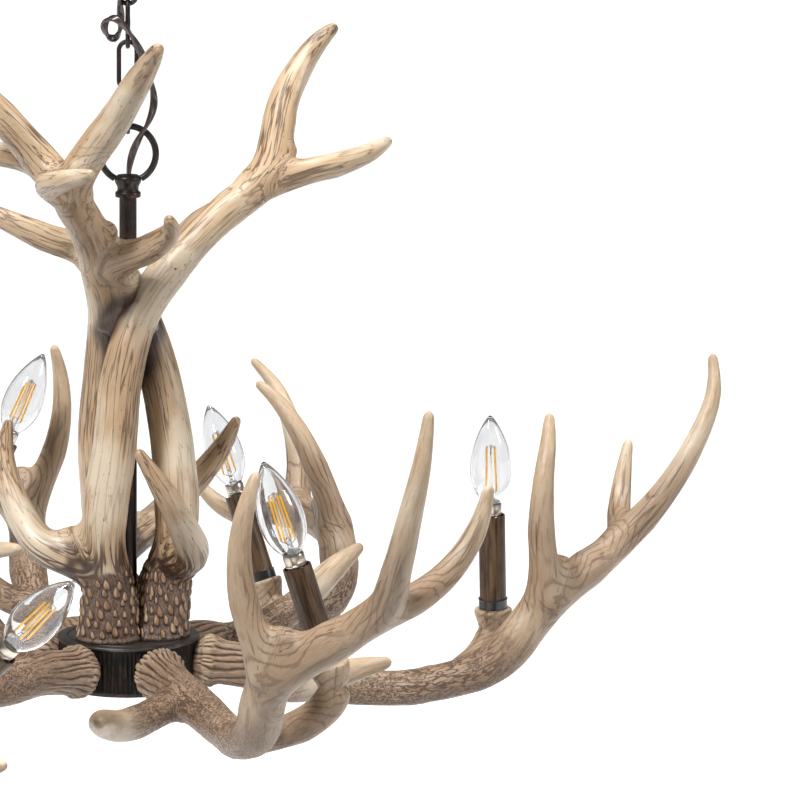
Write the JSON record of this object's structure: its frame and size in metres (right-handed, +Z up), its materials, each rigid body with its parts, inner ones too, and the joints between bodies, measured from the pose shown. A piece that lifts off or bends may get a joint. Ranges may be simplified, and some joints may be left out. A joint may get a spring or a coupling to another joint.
{
  "type": "antler chandelier",
  "caption": "Hanging antler chandelier: cast antlers bolted round and above a fluted bronze hub, candle lights with clear flame bulbs, chain, woven cord and ceiling canopy",
  "frame": {"origin": "centre of the mounting strap's upper face, where it meets the ceiling box", "axes": "+Z up out of the ceiling, +X to the right and +Y away from the viewer of the reference picture, in metres"},
  "size_m": [0.9746, 1.0208, 0.7059],
  "materials": {
    "bronze": "near-black bronze paint with rubbed copper-brown edges",
    "plate_bronze": "dark grey-bronze paint, satin, with one engraved line",
    "plated_steel": "zinc-plated steel",
    "upper_resin": "cast resin, warm cream and tan with dark-brown stain in the grain",
    "lower_resin": "cast resin, paler grey-cream with brown stained gutters",
    "collar_black": "satin black enamel",
    "candle_sleeve": "dark-brown sleeve with vertical streaks",
    "lamp_socket": "black phenolic holder with a metal shell",
    "bulb_glass": "clear blown glass",
    "bulb_base": "nickel-plated brass with amber filaments above it",
    "cord": "shiny dark-brown flexible cord",
    "connector": "moulded twist-on connectors"
  },
  "bodies": {
    "ceiling_mount": {"mounting_strap": "plated_steel", "canopy_nipple": "plated_steel", "canopy_cup": "bronze", "canopy_ring_nut": "bronze", "canopy_loop": "bronze", "power_cord": "cord"},
    "link_1": {"chain_link_1": "bronze"},
    "link_2": {"chain_link_2": "bronze"},
    "link_3": {"chain_link_3": "bronze"},
    "link_4": {"chain_link_4": "bronze"},
    "link_5": {"chain_link_5": "bronze"},
    "chandelier": {"arm_bolts": "plated_steel", "bottom_cap_nut": "bronze", "candle_collars": "collar_black", "candle_sleeve_1": "candle_sleeve", "candle_sleeve_2": "candle_sleeve", "candle_sleeve_3": "candle_sleeve", "candle_sleeve_4": "candle_sleeve", "candle_sleeve_5": "candle_sleeve", "candle_sleeve_6": "candle_sleeve", "hub_bottom_plate": "bronze", "hub_drum": "bronze", "hub_top_plate": "plate_bronze", "lamp_socket_1": "lamp_socket", "lamp_socket_2": "lamp_socket", "lamp_socket_3": "lamp_socket", "lamp_socket_4": "lamp_socket", "lamp_socket_5": "lamp_socket", "lamp_socket_6": "lamp_socket", "lower_antler_1": "lower_resin", "lower_antler_2": "lower_resin", "lower_antler_3": "lower_resin", "lower_antler_4": "lower_resin", "lower_antler_5": "lower_resin", "lower_antler_6": "lower_resin", "stem_coupling": "bronze", "stem_nut": "plated_steel", "stem_tube": "bronze", "threaded_rod": "plated_steel", "top_ring": "bronze", "upper_antler_1": "upper_resin", "upper_antler_2": "upper_resin", "upper_antler_3": "upper_resin", "upper_antler_bolts": "plated_steel", "wire_connectors": "connector"},
    "bulb_1": {"bulb_glass_1": "bulb_glass", "bulb_base_1": "bulb_base"},
    "bulb_2": {"bulb_glass_2": "bulb_glass", "bulb_base_2": "bulb_base"},
    "bulb_3": {"bulb_glass_3": "bulb_glass", "bulb_base_3": "bulb_base"},
    "bulb_4": {"bulb_glass_4": "bulb_glass", "bulb_base_4": "bulb_base"},
    "bulb_5": {"bulb_glass_5": "bulb_glass", "bulb_base_5": "bulb_base"},
    "bulb_6": {"bulb_glass_6": "bulb_glass", "bulb_base_6": "bulb_base"}
  },
  "joints": [
    {"name": "link_1_swing", "type": "hinge", "parent": "ceiling_mount", "child": "link_1", "pos_m": [0, 0, -0.06285], "axis": [1, 0, 0], "range_deg": [-7, 7], "deforming": ["power_cord"]},
    {"name": "link_2_swing", "type": "hinge", "parent": "link_1", "child": "link_2", "pos_m": [0, 0, -0.09695], "axis": [0, 1, 0], "range_deg": [-7, 7], "deforming": ["power_cord"]},
    {"name": "link_3_swing", "type": "hinge", "parent": "link_2", "child": "link_3", "pos_m": [0, 0, -0.13105], "axis": [1, 0, 0], "range_deg": [-7, 7], "deforming": ["power_cord"]},
    {"name": "link_4_swing", "type": "hinge", "parent": "link_3", "child": "link_4", "pos_m": [0, 0, -0.16515], "axis": [0, 1, 0], "range_deg": [-7, 7], "deforming": ["power_cord"]},
    {"name": "link_5_swing", "type": "hinge", "parent": "link_4", "child": "link_5", "pos_m": [0, 0, -0.19925], "axis": [1, 0, 0], "range_deg": [-7, 7], "deforming": ["power_cord"]},
    {"name": "chandelier_swing", "type": "hinge", "parent": "link_5", "child": "chandelier", "pos_m": [0, 0, -0.23335], "axis": [0, 1, 0], "range_deg": [-7, 7], "deforming": ["power_cord"]},
    {"name": "bulb_1_draw", "type": "slide", "parent": "chandelier", "child": "bulb_1", "axis": [0.6178, -0.3602, 0.699], "range_m": [0, 0.03]},
    {"name": "bulb_2_draw", "type": "slide", "parent": "chandelier", "child": "bulb_2", "axis": [-0.3045, -0.0729, 0.9497], "range_m": [0, 0.03]},
    {"name": "bulb_3_draw", "type": "slide", "parent": "chandelier", "child": "bulb_3", "axis": [-0.0362, -0.0903, 0.9953], "range_m": [0, 0.03]},
    {"name": "bulb_4_draw", "type": "slide", "parent": "chandelier", "child": "bulb_4", "axis": [-0.2997, 0.1797, 0.9369], "range_m": [0, 0.03]},
    {"name": "bulb_5_draw", "type": "slide", "parent": "chandelier", "child": "bulb_5", "axis": [0.3945, 0.0613, 0.9168], "range_m": [0, 0.03]},
    {"name": "bulb_6_draw", "type": "slide", "parent": "chandelier", "child": "bulb_6", "axis": [0.0571, -0.0409, 0.9975], "range_m": [0, 0.03]}
  ]
}
